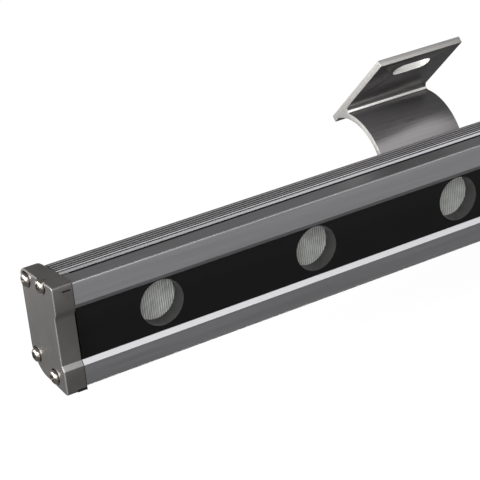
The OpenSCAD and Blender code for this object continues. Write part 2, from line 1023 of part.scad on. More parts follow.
// A shoe slides in the back track and holds the bracket's bead in its socket.
module shoe_profile() {
    translate([tongue_front, track_z - tongue_height / 2])
        square([tongue_t, tongue_height]);
    translate([tongue_front, track_z - tongue_neck / 2])
        square([shoe_back - tongue_front + overrun, tongue_neck]);
    difference() {
        union() {
            translate([shoe_back, shoe_low])
                square([shoe_t, shoe_top - shoe_low]);
            translate([hinge_d, hinge_z])
                circle(socket_r);
        }
        translate([hinge_d, hinge_z]) {
            circle(bead_r + bead_gap);
            wedge(2 * socket_r, mouth_from, mouth_to);
        }
    }
}

module hinge_shoe(side) {
    lock_hole = lock_r + close_gap;
    color(bracket_grey)
        difference() {
            union() {
                along_x(bracket_x(side) - bracket_length / 2, bracket_length)
                    shoe_profile();
                translate([bracket_x(side), -housing_depth / 2 + hinge_d, boss_low])
                    cylinder(r = boss_r, h = boss_high - boss_low);
            }
            for (s = [-1, 1])
                facing_back(bracket_x(side) + s * lock_spread, shoe_back - overrun, lock_z)
                    cylinder(r = lock_hole, h = shoe_t + 2 * overrun);
            translate([bracket_x(side), -housing_depth / 2 + hinge_d, boss_low - overrun])
                cylinder(r = lock_hole, h = hinge_z - boss_low);
        }
}

module slide_lock_screws(side) {
    color(steel)
        for (s = [-1, 1])
            facing_back(bracket_x(side) + s * lock_spread, shoe_back, lock_z)
                difference() {
                    cylinder(r = lock_r, h = shoe_t);
                    translate([0, 0, shoe_t - lock_hex_depth])
                        cylinder(r = lock_hex_r, h = lock_hex_depth + overrun, $fn = 6);
                }
}

module tilt_lock_screw(side) {
    tip_z = hinge_z - bead_r - bead_gap - tilt_tip_gap;
    color(steel)
        translate([bracket_x(side), -housing_depth / 2 + hinge_d, 0])
            difference() {
                union() {
                    translate([0, 0, boss_low])
                        cylinder(r = lock_r, h = tip_z - boss_low);
                    translate([0, 0, boss_low - tilt_head_h])
                        cylinder(r = tilt_head_r, h = tilt_head_h);
                }
                translate([0, 0, boss_low - tilt_head_h - overrun])
                    cylinder(r = tilt_hex_r, h = tilt_hex_depth + overrun, $fn = 6);
            }
}

housing();
left_end_cap();
right_end_cap();
left_cap_gasket();
right_cap_gasket();
left_cap_screws();
right_cap_screws();
front_glass();
window_print();
glass_seal();
for (i = [0:lens_count - 1]) {
    lens(i);
    lens_holder(i);
}
led_board(-1);  // left_led_board
led_board(1);  // right_led_board
thermal_pad(-1);  // left_thermal_pad
thermal_pad(1);  // right_thermal_pad
led_emitters(-1);  // left_led_emitters
led_emitters(1);  // right_led_emitters
drive_parts(-1);  // left_drive_parts
drive_parts(1);  // right_drive_parts
board_screws();
board_link();
input_terminal();
gland_body();
gland_ring();
gland_locknut();
gland_insert();
gland_dome();
hinge_shoe(-1);  // left_hinge_shoe
hinge_shoe(1);  // right_hinge_shoe
bracket(-1);  // left_bracket
bracket(1);  // right_bracket
slide_lock_screws(-1);  // left_slide_lock_screws
slide_lock_screws(1);  // right_slide_lock_screws
tilt_lock_screw(-1);  // left_tilt_lock_screw
tilt_lock_screw(1);  // right_tilt_lock_screw
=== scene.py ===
# %% [markdown]
# An outdoor wall washer is a long lamp that lies at the foot of a wall, or hangs
# on it, and washes it with light. Its body is one aluminium extrusion. A glass
# pane lies in its front, printed black behind except for a round window at each
# lens, and a cast cap closes each end. Two brackets hold it to the wall.
#
# The CAD model gives every piece its size and place, so the first step loads it.
# What it lacks is what a lens sees from near by: soft edges, cast corners, real
# screw heads, a ribbed lens, and finishes. Those are made here.

import math

import bmesh
import bpy
from mathutils import Matrix, Vector


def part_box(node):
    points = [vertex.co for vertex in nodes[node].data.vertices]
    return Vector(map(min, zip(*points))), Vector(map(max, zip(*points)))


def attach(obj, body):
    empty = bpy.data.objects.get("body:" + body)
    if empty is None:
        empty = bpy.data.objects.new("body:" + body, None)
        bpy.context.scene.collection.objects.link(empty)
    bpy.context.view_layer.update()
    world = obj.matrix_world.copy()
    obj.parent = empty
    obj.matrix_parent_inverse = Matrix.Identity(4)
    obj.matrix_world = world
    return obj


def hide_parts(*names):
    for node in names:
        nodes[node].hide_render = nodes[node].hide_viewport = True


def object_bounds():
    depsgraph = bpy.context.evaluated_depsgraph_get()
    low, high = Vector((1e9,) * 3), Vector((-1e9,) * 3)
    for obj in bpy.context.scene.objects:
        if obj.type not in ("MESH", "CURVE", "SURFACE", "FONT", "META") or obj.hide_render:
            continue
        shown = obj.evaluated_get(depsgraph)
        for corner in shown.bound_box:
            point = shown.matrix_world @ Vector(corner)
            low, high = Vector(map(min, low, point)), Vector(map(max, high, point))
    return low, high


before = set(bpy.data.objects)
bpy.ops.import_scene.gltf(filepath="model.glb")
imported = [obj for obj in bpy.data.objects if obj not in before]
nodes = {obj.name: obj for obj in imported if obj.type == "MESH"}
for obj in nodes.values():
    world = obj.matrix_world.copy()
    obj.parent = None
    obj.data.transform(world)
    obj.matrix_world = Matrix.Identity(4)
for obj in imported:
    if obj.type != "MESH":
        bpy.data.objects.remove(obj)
cad_box = [list(corner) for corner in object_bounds()]
MM = 0.001
print("CAD nodes:", len(nodes), "box in mm:", [[round(v / MM, 1) for v in c] for c in cad_box])

# %% [markdown]
# The photograph is taken from the front left, a little above the lamp, through a
# long lens that keeps the far end large. The camera's place was worked out from
# the edges of the lamp, whose sizes are known, so nothing has to be fitted by eye.
# A camera in Blender looks along its own -Z with +Y up, so its turn is written
# as three directions: right, up and backwards.

# %% Camera
CAMERA_PLACE = Vector((-0.77609, -0.67250, 0.37275))
CAMERA_RIGHT = Vector((0.84605712, -0.52383201, -0.09893119))
CAMERA_DOWN = Vector((-0.28914738, -0.29501713, -0.91069132))
CAMERA_FORWARD = Vector((0.44786287, 0.79910257, -0.401066))
FOCAL_PIXELS = 1864.73
PICTURE_PIXELS = 480

camera_data = bpy.data.cameras.new("camera")
camera_data.sensor_width = 36.0
camera_data.lens = FOCAL_PIXELS * camera_data.sensor_width / PICTURE_PIXELS
camera = bpy.data.objects.new("camera", camera_data)
turn = Matrix((CAMERA_RIGHT, -CAMERA_DOWN, -CAMERA_FORWARD)).transposed()
camera.matrix_world = Matrix.LocRotScale(CAMERA_PLACE, turn.to_quaternion(), None)
bpy.context.collection.objects.link(camera)
bpy.context.scene.camera = camera
bpy.context.scene.view_settings.view_transform = "Standard"
print("camera lens in mm:", round(camera_data.lens, 2))

# %% [markdown]
# Every finish below is a small graph of nodes. A few helpers keep them short. The
# first turns a colour as a picture shows it (sRGB hex) into the linear numbers that
# a renderer adds up, the next adds a node with its settings and links, and the last
# puts a finish on pieces. A noise's values lie mostly between 0.3 and 0.7, so that
# range is stretched over a finish's two tones. A Mix node has a set of sockets for
# each kind of value, and its colours are numbers 6 and 7.

# %% Helpers for finishes
def linear(code):
    channels = [int(code[i:i + 2], 16) / 255 for i in (1, 3, 5)]
    return [c / 12.92 if c <= 0.04045 else ((c + 0.055) / 1.055) ** 2.4 for c in channels] + [1.0]


def add(tree, kind, settings=None, links=None):
    """Adds a node. Settings and links go by a socket's name or number, or a property's name."""
    made = tree.nodes.new(kind)
    for key, value in (settings or {}).items():
        if isinstance(key, int) or key in made.inputs:
            made.inputs[key].default_value = value
        else:
            setattr(made, key, value)
    for key, source in (links or {}).items():
        tree.links.new(source, made.inputs[key])
    return made


def new_finish(name):
    material = bpy.data.materials.new(name)
    material.use_nodes = True
    material.node_tree.nodes.clear()
    return material, material.node_tree


def end_finish(tree, shader):
    add(tree, "ShaderNodeOutputMaterial", links={"Surface": shader.outputs[0]})


NOISE_LOW, NOISE_HIGH = 0.3, 0.7
MIX_A, MIX_B, MIX_RESULT = 6, 7, 2


def two_tone(tree, factor, dark, light):
    """A colour that goes from dark to light with a noise's strength."""
    tone = add(tree, "ShaderNodeMapRange", {"From Min": NOISE_LOW, "From Max": NOISE_HIGH},
               {"Value": factor})
    return add(tree, "ShaderNodeMix",
               {"data_type": "RGBA", MIX_A: linear(dark), MIX_B: linear(light)},
               {"Factor": tone.outputs["Result"]}).outputs[MIX_RESULT]


def dress(material, *pieces):
    for piece in pieces:
        piece.data.materials.clear()
        piece.data.materials.append(material)


# %% [markdown]
# The housing is extruded aluminium with a satin grey anodised coat. Pressing it
# through the die leaves fine lines along its length that make its gloss and its
# grey run in streaks. Real die lines are 0.1 to 0.5 mm apart; they are drawn 1.2 mm
# apart, so that they show. They are noise on Object coordinates, stretched
# fiftyfold along X. Anodised metal reflects through a clear grey skin, so most of
# its grey is in its reflections and only a little is a plain painted grey.

# %% Finish: satin anodised extrusion
LINE_STRETCH = 50
GLOSS_CHANGE = 0.03


def anodised(name, dark, light, metallic, roughness, line_gap=1.2 * MM):
    material, tree = new_finish(name)
    place = add(tree, "ShaderNodeTexCoord").outputs["Object"]
    stretched = add(tree, "ShaderNodeMapping", {"Scale": (1 / LINE_STRETCH, 1, 1)},
                    {"Vector": place})
    lines = add(tree, "ShaderNodeTexNoise",
                {"Scale": 1 / line_gap, "Detail": 3.0, "Roughness": 0.6},
                {"Vector": stretched.outputs["Vector"]}).outputs["Fac"]
    rough = add(tree, "ShaderNodeMapRange",
                {"From Min": NOISE_LOW, "From Max": NOISE_HIGH,
                 "To Min": roughness - GLOSS_CHANGE, "To Max": roughness + GLOSS_CHANGE},
                {"Value": lines})
    relief = add(tree, "ShaderNodeBump", {"Strength": 0.1, "Distance": 0.02 * MM},
                 {"Height": lines})
    shader = add(tree, "ShaderNodeBsdfPrincipled",
                 {"Metallic": metallic, "Specular IOR Level": 0.3},
                 {"Base Color": two_tone(tree, lines, dark, light),
                  "Roughness": rough.outputs["Result"], "Normal": relief.outputs["Normal"]})
    end_finish(tree, shader)
    return material


housing_finish = anodised("satin anodised extrusion", "#adadaf", "#b6b6b9", 0.95, 0.36)
bracket_finish = anodised("grey anodised bracket", "#6f6d6e", "#7b7979", 0.8, 0.3)
sawn_finish = anodised("sawn aluminium edge", "#918f8d", "#aba9a6", 0.5, 0.45, 0.8 * MM)
# painted shade: a darker copy of the anodised grey for the fins
fin_shade_finish = anodised("anodised fin in painted shade", "#7a7879", "#848283", 0.9, 0.4)
# painted shade: a darker, duller copy of the anodised grey for the grooves
groove_shade_finish = anodised("anodised groove in painted shade", "#2c2c2d", "#363637", 0.6, 0.5)
# bare milled metal for the slot, and a painted highlight along the inner corner
bare_slot_and_highlight_finish = anodised("milled slot and painted corner highlight", "#d9d8d4", "#efeeea", 0.2, 0.5, 0.8 * MM)
print("materials so far:", len(bpy.data.materials))

# %% [markdown]
# The end caps are cast in aluminium and powder coated a darker, slightly warm
# grey. Powder melts into a fine orange peel, about half a millimetre from hump to
# hump, which softens its gloss. A lighter copy of the coat is a painted highlight.

# %% Finish: powder-coated casting
PEEL_GAP, CLOUD_GAP = 0.5 * MM, 9 * MM


def powder_coat(name, dark, light, roughness, coat):
    material, tree = new_finish(name)
    place = add(tree, "ShaderNodeTexCoord").outputs["Object"]
    peel = add(tree, "ShaderNodeTexNoise", {"Scale": 1 / PEEL_GAP, "Detail": 2.0},
               {"Vector": place})
    cloud = add(tree, "ShaderNodeTexNoise", {"Scale": 1 / CLOUD_GAP, "Detail": 2.0},
                {"Vector": place})
    relief = add(tree, "ShaderNodeBump", {"Strength": 0.2, "Distance": 0.03 * MM},
                 {"Height": peel.outputs["Fac"]})
    shader = add(tree, "ShaderNodeBsdfPrincipled",
                 {"Roughness": roughness, "Specular IOR Level": 0.8,
                  "Coat Weight": coat, "Coat Roughness": 0.15},
                 {"Base Color": two_tone(tree, cloud.outputs["Fac"], dark, light),
                  "Normal": relief.outputs["Normal"]})
    end_finish(tree, shader)
    return material


cap_finish = powder_coat("grey powder coat", "#3c3a38", "#42403e", 0.4, 0.8)
# painted highlight: a lighter copy of the coat for the cap's rim and ledge
rim_highlight_finish = powder_coat("painted highlight on the powder coat", "#605e5b", "#6c6a67", 0.4, 1.0)
print("powder coats:", cap_finish.name, "and", rim_highlight_finish.name)

# %% [markdown]
# Screws are stainless steel, and the cable gland is brass with a nickel plate.
# Turned metal is bright and reflects its surroundings with a little haze, and fine
# scratches change the haze from place to place.

# %% Finish: metals of the small parts
SCUFF_GAP = 0.8 * MM
HAZE_CHANGE = 0.06


def bright_metal(name, dark, light, roughness):
    material, tree = new_finish(name)
    place = add(tree, "ShaderNodeTexCoord").outputs["Object"]
    scuffs = add(tree, "ShaderNodeTexNoise", {"Scale": 1 / SCUFF_GAP, "Detail": 4.0},
                 {"Vector": place})
    rough = add(tree, "ShaderNodeMapRange",
                {"To Min": roughness - HAZE_CHANGE, "To Max": roughness + HAZE_CHANGE},
                {"Value": scuffs.outputs["Fac"]})
    shader = add(tree, "ShaderNodeBsdfPrincipled", {"Metallic": 1.0},
                 {"Base Color": two_tone(tree, scuffs.outputs["Fac"], dark, light),
                  "Roughness": rough.outputs["Result"]})
    end_finish(tree, shader)
    return material


stainless = bright_metal("bright stainless steel", "#a8a19a", "#c9c3bb", 0.24)
# painted shade: a darker copy of the steel for the cross recess
recess_shade_finish = bright_metal("cross-recess steel in painted shade", "#4a4642", "#5e5954", 0.5)
nickel = bright_metal("satin nickel plate", "#bcb8b0", "#d2cec6", 0.3)
dress(stainless, *[nodes[n] for n in (
    "board_screws", "left_slide_lock_screws", "right_slide_lock_screws",
    "left_tilt_lock_screw", "right_tilt_lock_screw")])
dress(nickel, *[nodes[n] for n in ("gland_body", "gland_locknut", "gland_dome")])
print("bright metals:", stainless.name, "and", nickel.name)

# %% [markdown]
# The pane is clear toughened glass, 3 mm thick. It bends what lies behind it, so
# the recess round each lens looks shallower than it is. A shadow ray can't bend,
# so for those alone the glass is see-through: light then gets in to the lenses.

# %% Finish: toughened glass
def clear_glass(name, tint, reflection):
    material, tree = new_finish(name)
    glass = add(tree, "ShaderNodeBsdfPrincipled",
                {"Base Color": linear(tint), "Roughness": 0.0, "IOR": 1.5,
                 "Transmission Weight": 1.0, "Specular Tint": linear(reflection)})
    open_way = add(tree, "ShaderNodeBsdfTransparent", {"Color": linear(tint)})
    ray = add(tree, "ShaderNodeLightPath")
    mixed = add(tree, "ShaderNodeMixShader", links={
        0: ray.outputs["Is Shadow Ray"], 1: glass.outputs[0], 2: open_way.outputs[0]})
    end_finish(tree, mixed)
    return material


dress(clear_glass("clear toughened glass", "#f6f8f7", "#f0f0f0"), nodes["front_glass"])
print("glass on:", nodes["front_glass"].name)

# %% [markdown]
# The black on the pane's back is a fired ceramic print. Close up it has a fine
# grain of enamel dots, far too small to see from here, so it is drawn as a faint
# cloud of two near blacks. Rubber and the mouldings inside are made the same way,
# each with its own grain.

# %% Finish: black print, rubber and mouldings
def moulded(name, dark, light, grain, roughness, specular=0.4, relief=0.02 * MM):
    material, tree = new_finish(name)
    place = add(tree, "ShaderNodeTexCoord").outputs["Object"]
    cloud = add(tree, "ShaderNodeTexNoise", {"Scale": 1 / grain, "Detail": 3.0},
                {"Vector": place}).outputs["Fac"]
    shader = add(tree, "ShaderNodeBsdfPrincipled",
                 {"Roughness": roughness, "Specular IOR Level": specular},
                 {"Base Color": two_tone(tree, cloud, dark, light)})
    if relief:
        bump = add(tree, "ShaderNodeBump", {"Strength": 0.1, "Distance": relief}, {"Height": cloud})
        tree.links.new(bump.outputs["Normal"], shader.inputs["Normal"])
    end_finish(tree, shader)
    return material


dress(moulded("fired black print", "#060606", "#0a0a0a", 6 * MM, 0.7, 0.1, 0),
      nodes["window_print"])
dress(moulded("black silicone rubber", "#121212", "#1c1c1c", 0.7 * MM, 0.75, 0.15),
      *[nodes[n] for n in (
          "left_cap_gasket", "right_cap_gasket", "glass_seal", "gland_ring", "gland_insert")])
dress(moulded("dark moulded lens holder", "#2a2929", "#323131", 0.8 * MM, 0.45),
      *[nodes[n] for n in nodes if n.startswith("lens_holder")])
dress(moulded("white solder mask", "#e6e6e0", "#f0f0ea", 1.2 * MM, 0.4),
      nodes["left_led_board"], nodes["right_led_board"])
dress(moulded("grey thermal pad", "#9a9ea6", "#a6aab2", 1.0 * MM, 0.7),
      nodes["left_thermal_pad"], nodes["right_thermal_pad"])
dress(moulded("yellow phosphor", "#e8d24a", "#f2dc5c", 0.4 * MM, 0.3),
      nodes["left_led_emitters"], nodes["right_led_emitters"])
dress(moulded("black chip package", "#1c1c1e", "#262628", 0.5 * MM, 0.5),
      nodes["left_drive_parts"], nodes["right_drive_parts"])
dress(moulded("white nylon connector", "#e8e6dc", "#f0eee6", 0.6 * MM, 0.45),
      nodes["board_link"])
dress(moulded("green terminal block", "#2f5a3c", "#376645", 0.6 * MM, 0.45),
      nodes["input_terminal"])
print("materials so far:", len(bpy.data.materials))

# %% [markdown]
# The lenses are moulded in clear acrylic and sit over white boards. Their ribbed
# faces scatter light, so they look like pale grey frosted glass: some light goes
# through and some comes straight back. The grooves between the ribs get a painted
# shade, a darker grey. The lenses' pitch is a whole number of ribs, so one wave
# along X, with its crests on the ribs, serves for all twelve.

# %% Finish: clear acrylic
MOTTLE_GAP = 4 * MM


def acrylic(name, dark, light, groove, through, gap):
    material, tree = new_finish(name)
    place = add(tree, "ShaderNodeTexCoord").outputs["Object"]
    cloud = add(tree, "ShaderNodeTexNoise", {"Scale": 1 / MOTTLE_GAP, "Detail": 2.0},
                {"Vector": place})
    across = add(tree, "ShaderNodeSeparateXYZ", links={0: place}).outputs["X"]
    turn = add(tree, "ShaderNodeMath", {"operation": "MULTIPLY", 1: 2 * math.pi / gap},
               {0: across}).outputs[0]
    wave = add(tree, "ShaderNodeMath", {"operation": "COSINE"}, {0: turn}).outputs[0]
    crest = add(tree, "ShaderNodeMapRange", {"From Min": -1.0, "From Max": 1.0}, {"Value": wave})
    # painted shade: the grooves between the ribs are mixed toward a darker grey
    ribs = add(tree, "ShaderNodeMix", {"data_type": "RGBA", MIX_A: linear(groove)},
               {"Factor": crest.outputs["Result"],
                MIX_B: two_tone(tree, cloud.outputs["Fac"], dark, light)}).outputs[MIX_RESULT]
    shader = add(tree, "ShaderNodeBsdfPrincipled",
                 {"Roughness": 0.15, "IOR": 1.49, "Transmission Weight": through},
                 {"Base Color": ribs})
    end_finish(tree, shader)
    return material


RIB_GAP = 1.1
lens_finish = acrylic("ribbed clear acrylic", "#d3d1cf", "#fdfcfa", "#a8a6a3", 0.4, RIB_GAP * MM)
print("ribs in mm:", RIB_GAP, "apart, in", lens_finish.name)

# %% [markdown]
# Modelling works in millimetres, as a drawing does. A few helpers keep the cells
# short: a point in millimetres, a piece selected alone, a piece's place put into
# its mesh, a box, a rod, and a way to pick vertices, edges or faces by their place.
# A tool that cuts runs a millimetre past the piece, since a boolean is only sure
# where no two faces lie in one plane. Edges that turn more than 35 degrees stay
# sharp where a piece is shaded smooth.

# %% Helpers for shaping
def mm(x, y, z):
    return Vector((x, y, z)) * MM


def only(piece):
    if bpy.context.mode != "OBJECT":
        bpy.ops.object.mode_set(mode="OBJECT")
    bpy.ops.object.select_all(action="DESELECT")
    piece.select_set(True)
    bpy.context.view_layer.objects.active = piece
    return piece


def settle(name):
    """Names the new piece and puts its place into its mesh, so its object sits at the origin."""
    piece = only(bpy.context.active_object)
    bpy.ops.object.transform_apply(location=True, rotation=True, scale=True)
    piece.name = piece.data.name = name
    return piece


def box_piece(name, low, high):
    """A box between two corners given in mm."""
    bpy.ops.object.select_all(action="DESELECT")
    low, high = mm(*low), mm(*high)
    bpy.ops.mesh.primitive_cube_add(size=1, location=(low + high) / 2, scale=high - low)
    return settle(name)


def rod_piece(name, start, axis, radius, length, sides=48):
    """A rod in mm, from its start along X, Y or Z."""
    bpy.ops.object.select_all(action="DESELECT")
    along = Vector([axis == letter for letter in "XYZ"])
    lie = {"X": (0, math.pi / 2, 0), "Y": (-math.pi / 2, 0, 0), "Z": (0, 0, 0)}[axis]
    bpy.ops.mesh.primitive_cylinder_add(
        vertices=sides, radius=radius * MM, depth=length * MM, rotation=lie,
        location=mm(*start) + along * length * MM / 2)
    return settle(name)


def edit(piece):
    only(piece)
    bpy.ops.object.mode_set(mode="EDIT")


def pick(piece, kind, test):
    """In edit mode, selects each VERT, EDGE or FACE that passes test(item, its corners in mm)."""
    bpy.ops.mesh.select_mode(type=kind)
    bpy.ops.mesh.select_all(action="DESELECT")
    mesh = bmesh.from_edit_mesh(piece.data)
    picked = 0
    for item in {"VERT": mesh.verts, "EDGE": mesh.edges, "FACE": mesh.faces}[kind]:
        corners = [item] if kind == "VERT" else item.verts
        if test(item, [corner.co / MM for corner in corners]):
            item.select_set(True)
            picked += 1
    bmesh.update_edit_mesh(piece.data)
    return picked


def near(value, target, reach=0.02):
    return abs(value - target) < reach


OVERRUN = 1
SHARP_TURN = 35


def carve(piece, tool, operation="DIFFERENCE"):
    """Cuts a tool out of a piece, or joins it on, and removes the tool."""
    only(piece)
    change = piece.modifiers.new("carve", "BOOLEAN")
    change.operation, change.object, change.solver = operation, tool, "EXACT"
    bpy.ops.object.modifier_apply(modifier=change.name)
    bpy.data.objects.remove(tool)


def smooth(piece, angle=30):
    only(piece)
    bpy.ops.object.shade_smooth_by_angle(angle=math.radians(angle))


def soften(piece, width, angle=35, segments=2):
    """Rounds each edge that turns more than an angle, by a width in mm."""
    only(piece)
    change = piece.modifiers.new("soften", "BEVEL")
    change.width, change.segments = width * MM, segments
    change.limit_method, change.angle_limit = "ANGLE", math.radians(angle)
    bpy.ops.object.modifier_apply(modifier=change.name)
    smooth(piece, angle)


def tidy_mesh(piece, angle=1.0):
    """Merges doubled corners and clears lines that lie in flat faces."""
    edit(piece)
    bpy.ops.mesh.select_all(action="SELECT")
    bpy.ops.mesh.remove_doubles(threshold=0.002 * MM)
    bpy.ops.mesh.dissolve_limited(angle_limit=math.radians(angle))
    bpy.ops.object.mode_set(mode="OBJECT")


def hand_over(piece, body, slot, finish, *replaced):
    """Gives a finished piece its finish and body, and says which CAD nodes it stands for."""
    if finish:
        dress(finish, piece)
    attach(piece, body)
    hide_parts(*replaced)
    print(piece.name, "faces:", len(piece.data.polygons), "for", ", ".join(replaced))


# %% [markdown]
# Each end cap is a cast block. Its end face has a rounded rim, its back corners
# are round, and its front steps back beside the glass as the housing's does, with
# the softer corners of a casting. Its underside rises from a foot at the front. It
# starts as a cube of the CAD cap's size. The underside is sliced to its slope, the
# long edges are bevelled to their radii, and the front is sliced into strips whose
# middle one is pushed back. Bevels are chosen since they keep every radius exact.

# %% End cap: block and front recess
cap_low, cap_high = [corner / MM for corner in map(Vector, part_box("left_end_cap"))]
FRONT = cap_low.y
CAP_BACK, CAP_TOP, CAP_BOTTOM = cap_high.y, cap_high.z, cap_low.z
UNDERSIDE_TILT = math.radians(5.46)
FOOT_DEPTH, FOOT_LIFT = 1.75, 0.007
FRONT_R, TOP_BACK_R, LOW_BACK_R = 1.6, 4.1, 13.0
RECESS_EDGES = (9.9, 12.1, 34.6, 37.0)
RECESS_DEPTH = 1.75

cap = box_piece("left_end_cap_cast", cap_low, cap_high)
edit(cap)
bpy.ops.mesh.select_all(action="SELECT")
bpy.ops.mesh.bisect(plane_co=mm(0, FRONT + FOOT_DEPTH, CAP_BOTTOM + FOOT_LIFT),
                    plane_no=(0, -math.sin(UNDERSIDE_TILT), math.cos(UNDERSIDE_TILT)),
                    use_fill=True, clear_inner=True)
back_low = CAP_BOTTOM + (CAP_BACK - FRONT - FOOT_DEPTH) * math.tan(UNDERSIDE_TILT)
low_turn = (math.pi / 2 - UNDERSIDE_TILT) / 2
for height, depth, reach, segments in (
        (CAP_BOTTOM, FRONT, FRONT_R, 6),
        (CAP_TOP, FRONT, FRONT_R, 6),
        (CAP_TOP, CAP_BACK, TOP_BACK_R, 12),
        (back_low, CAP_BACK, LOW_BACK_R * math.tan(low_turn), 20)):
    count = pick(cap, "EDGE", lambda e, c: all(
        near(p.y, depth, 0.05) and near(p.z, height, 0.2) for p in c))
    bpy.ops.mesh.bevel(offset=reach * MM, segments=segments, profile=0.5, affect="EDGES")
    print("cap corner at", round(depth, 1), round(height, 1), "edges:", count)

for height in RECESS_EDGES:
    bpy.ops.mesh.select_all(action="SELECT")
    bpy.ops.mesh.bisect(plane_co=mm(0, 0, height), plane_no=(0, 0, 1))
pick(cap, "FACE", lambda f, c: f.normal.y < -0.99 and all(
    RECESS_EDGES[1] - 0.1 < p.z < RECESS_EDGES[2] + 0.1 for p in c))
bpy.ops.transform.translate(value=mm(0, RECESS_DEPTH, 0))

# %% [markdown]
# The casting's corners are not all alike. The rim round the end face is rounded by
# a millimetre. Below the upper flange the step is a soft hollow, and above the
# lower one it is crisp. On the side of the housing the back edges are rounded
# too, so the cap looks like a dome from above.

# %% End cap: soft corners
HOLLOW_R, STEP_R, RIM_R, BACK_R = 1.1, 0.25, 1.0, 2.2
END_FACING = 0.9


def on_end(corners):
    return all(near(p.x, cap_low.x) for p in corners)


def on_joint(corners):
    return all(near(p.x, cap_high.x) for p in corners)


def in_front(corner):
    return corner.y < FRONT + RECESS_DEPTH + 0.1


pick(cap, "EDGE", lambda e, c: e.is_manifold and not on_end(c) and not on_joint(c) and all(
    near(p.z, RECESS_EDGES[2]) or near(p.z, RECESS_EDGES[3]) for p in c)
    and near(c[0].z, c[1].z) and all(in_front(p) for p in c))
bpy.ops.mesh.bevel(offset=HOLLOW_R * MM, segments=4, profile=0.5, affect="EDGES")
pick(cap, "EDGE", lambda e, c: near(c[0].z, c[1].z) and not near(c[0].x, c[1].x) and all(
    (near(p.z, RECESS_EDGES[0]) or near(p.z, RECESS_EDGES[1])) and in_front(p) for p in c))
bpy.ops.mesh.bevel(offset=STEP_R * MM, segments=2, profile=0.5, affect="EDGES")
bpy.ops.mesh.select_all(action="SELECT")
bpy.ops.mesh.dissolve_limited(angle_limit=math.radians(0.5))
rim = pick(cap, "EDGE", lambda e, c: on_end(c) and any(
    f.normal.x > -END_FACING for f in e.link_faces))
bpy.ops.mesh.bevel(offset=RIM_R * MM, segments=4, profile=0.5, affect="EDGES", clamp_overlap=True)
back_edge = pick(cap, "EDGE", lambda e, c: on_joint(c)
                 and any(f.normal.x < END_FACING for f in e.link_faces)
                 and all(p.y > CAP_BACK - TOP_BACK_R - 0.1 for p in c))
bpy.ops.mesh.bevel(offset=BACK_R * MM, segments=4, profile=0.5, affect="EDGES")
bpy.ops.object.mode_set(mode="OBJECT")
print("rim edges:", rim, "back edges:", back_edge)

# %% [markdown]
# What is cut into the cap comes next: a round sunk seat and a hole for each screw,
# the pocket inside, the notch that the gasket's lip fills, and a small ejector
# mark that the photograph shows on the front. Each is a boolean with a plain tool.
# The end face's edges are then marked sharp, so that its shading stays flat.

# %% End cap: seats, pocket and notch
SCREW_PLACES = ((10.9, 47.1), (25.8, 45.1), (10.2, 3.9), (26.6, 8.5))
SEAT_R, SEAT_DEPTH, SEAT_CHAMFER = 3.9, 1.0, 0.2
SCREW_HOLE_R, SCREW_HOLE_LENGTH, SMALL_SIDES = 1.8, 20, 24
POCKET_WALL, POCKET_Y, POCKET_Z = 3, (6.35, 22.1), (12.2, 36.5)
NOTCH_WIDTH, NOTCH_DEPTH, NOTCH_HEIGHT = 4.4, 6, 1.6
MARK_X, MARK_DEPTH, MARK_Z = (4.8, 8.6), 2.2, (46.0, 46.8)

for depth, height in SCREW_PLACES:
    seat = rod_piece("tool", (cap_low.x + SEAT_CHAMFER, FRONT + depth, height), "X",
                     SEAT_R, SEAT_DEPTH - SEAT_CHAMFER)
    edit(seat)
    pick(seat, "FACE", lambda f, c: f.normal.x < -0.9)
    bpy.ops.mesh.extrude_region_move(
        TRANSFORM_OT_translate={"value": mm(-2 * SEAT_CHAMFER, 0, 0)})
    spread = 1 + 2 * SEAT_CHAMFER / SEAT_R
    bpy.ops.transform.resize(value=(1, spread, spread),
                             center_override=mm(0, FRONT + depth, height))
    bpy.ops.object.mode_set(mode="OBJECT")
    carve(cap, seat)
    carve(cap, rod_piece("tool", (cap_low.x - OVERRUN, FRONT + depth, height), "X",
                         SCREW_HOLE_R, SCREW_HOLE_LENGTH, SMALL_SIDES))
carve(cap, box_piece("tool",
                     (cap_low.x + POCKET_WALL, FRONT + POCKET_Y[0], POCKET_Z[0]),
                     (cap_high.x + OVERRUN, FRONT + POCKET_Y[1], POCKET_Z[1])))
carve(cap, box_piece("tool",
                     (cap_high.x - NOTCH_WIDTH, FRONT - OVERRUN, CAP_BOTTOM - OVERRUN),
                     (cap_high.x + OVERRUN, FRONT + NOTCH_DEPTH, CAP_BOTTOM + NOTCH_HEIGHT)))
carve(cap, box_piece("tool",
                     (cap_low.x + MARK_X[0], FRONT - OVERRUN, MARK_Z[0]),
                     (cap_low.x + MARK_X[1], FRONT + MARK_DEPTH, MARK_Z[1])))
smooth(cap, SHARP_TURN)
edit(cap)
end_edges = pick(cap, "EDGE", lambda e, c: on_end(c))
bpy.ops.mesh.mark_sharp()
bpy.ops.object.mode_set(mode="OBJECT")
print("edges that keep the end face flat:", end_edges)

# %% [markdown]
# The photograph shows the cap's rim and the sloping ledge on its front lighter than
# the rest, so they get a painted highlight: a lighter copy of the powder coat. A piece
# can carry several finishes, and each face says by number which is its own. The
# faces are found by the way they face and by their place.

# %% End cap: painted highlight on rim and ledge
RIM_FACING, SEAT_EDGE = (-0.87, -0.45), 0.5
LEDGE_Z = (RECESS_EDGES[0] + RECESS_EDGES[1]) / 2

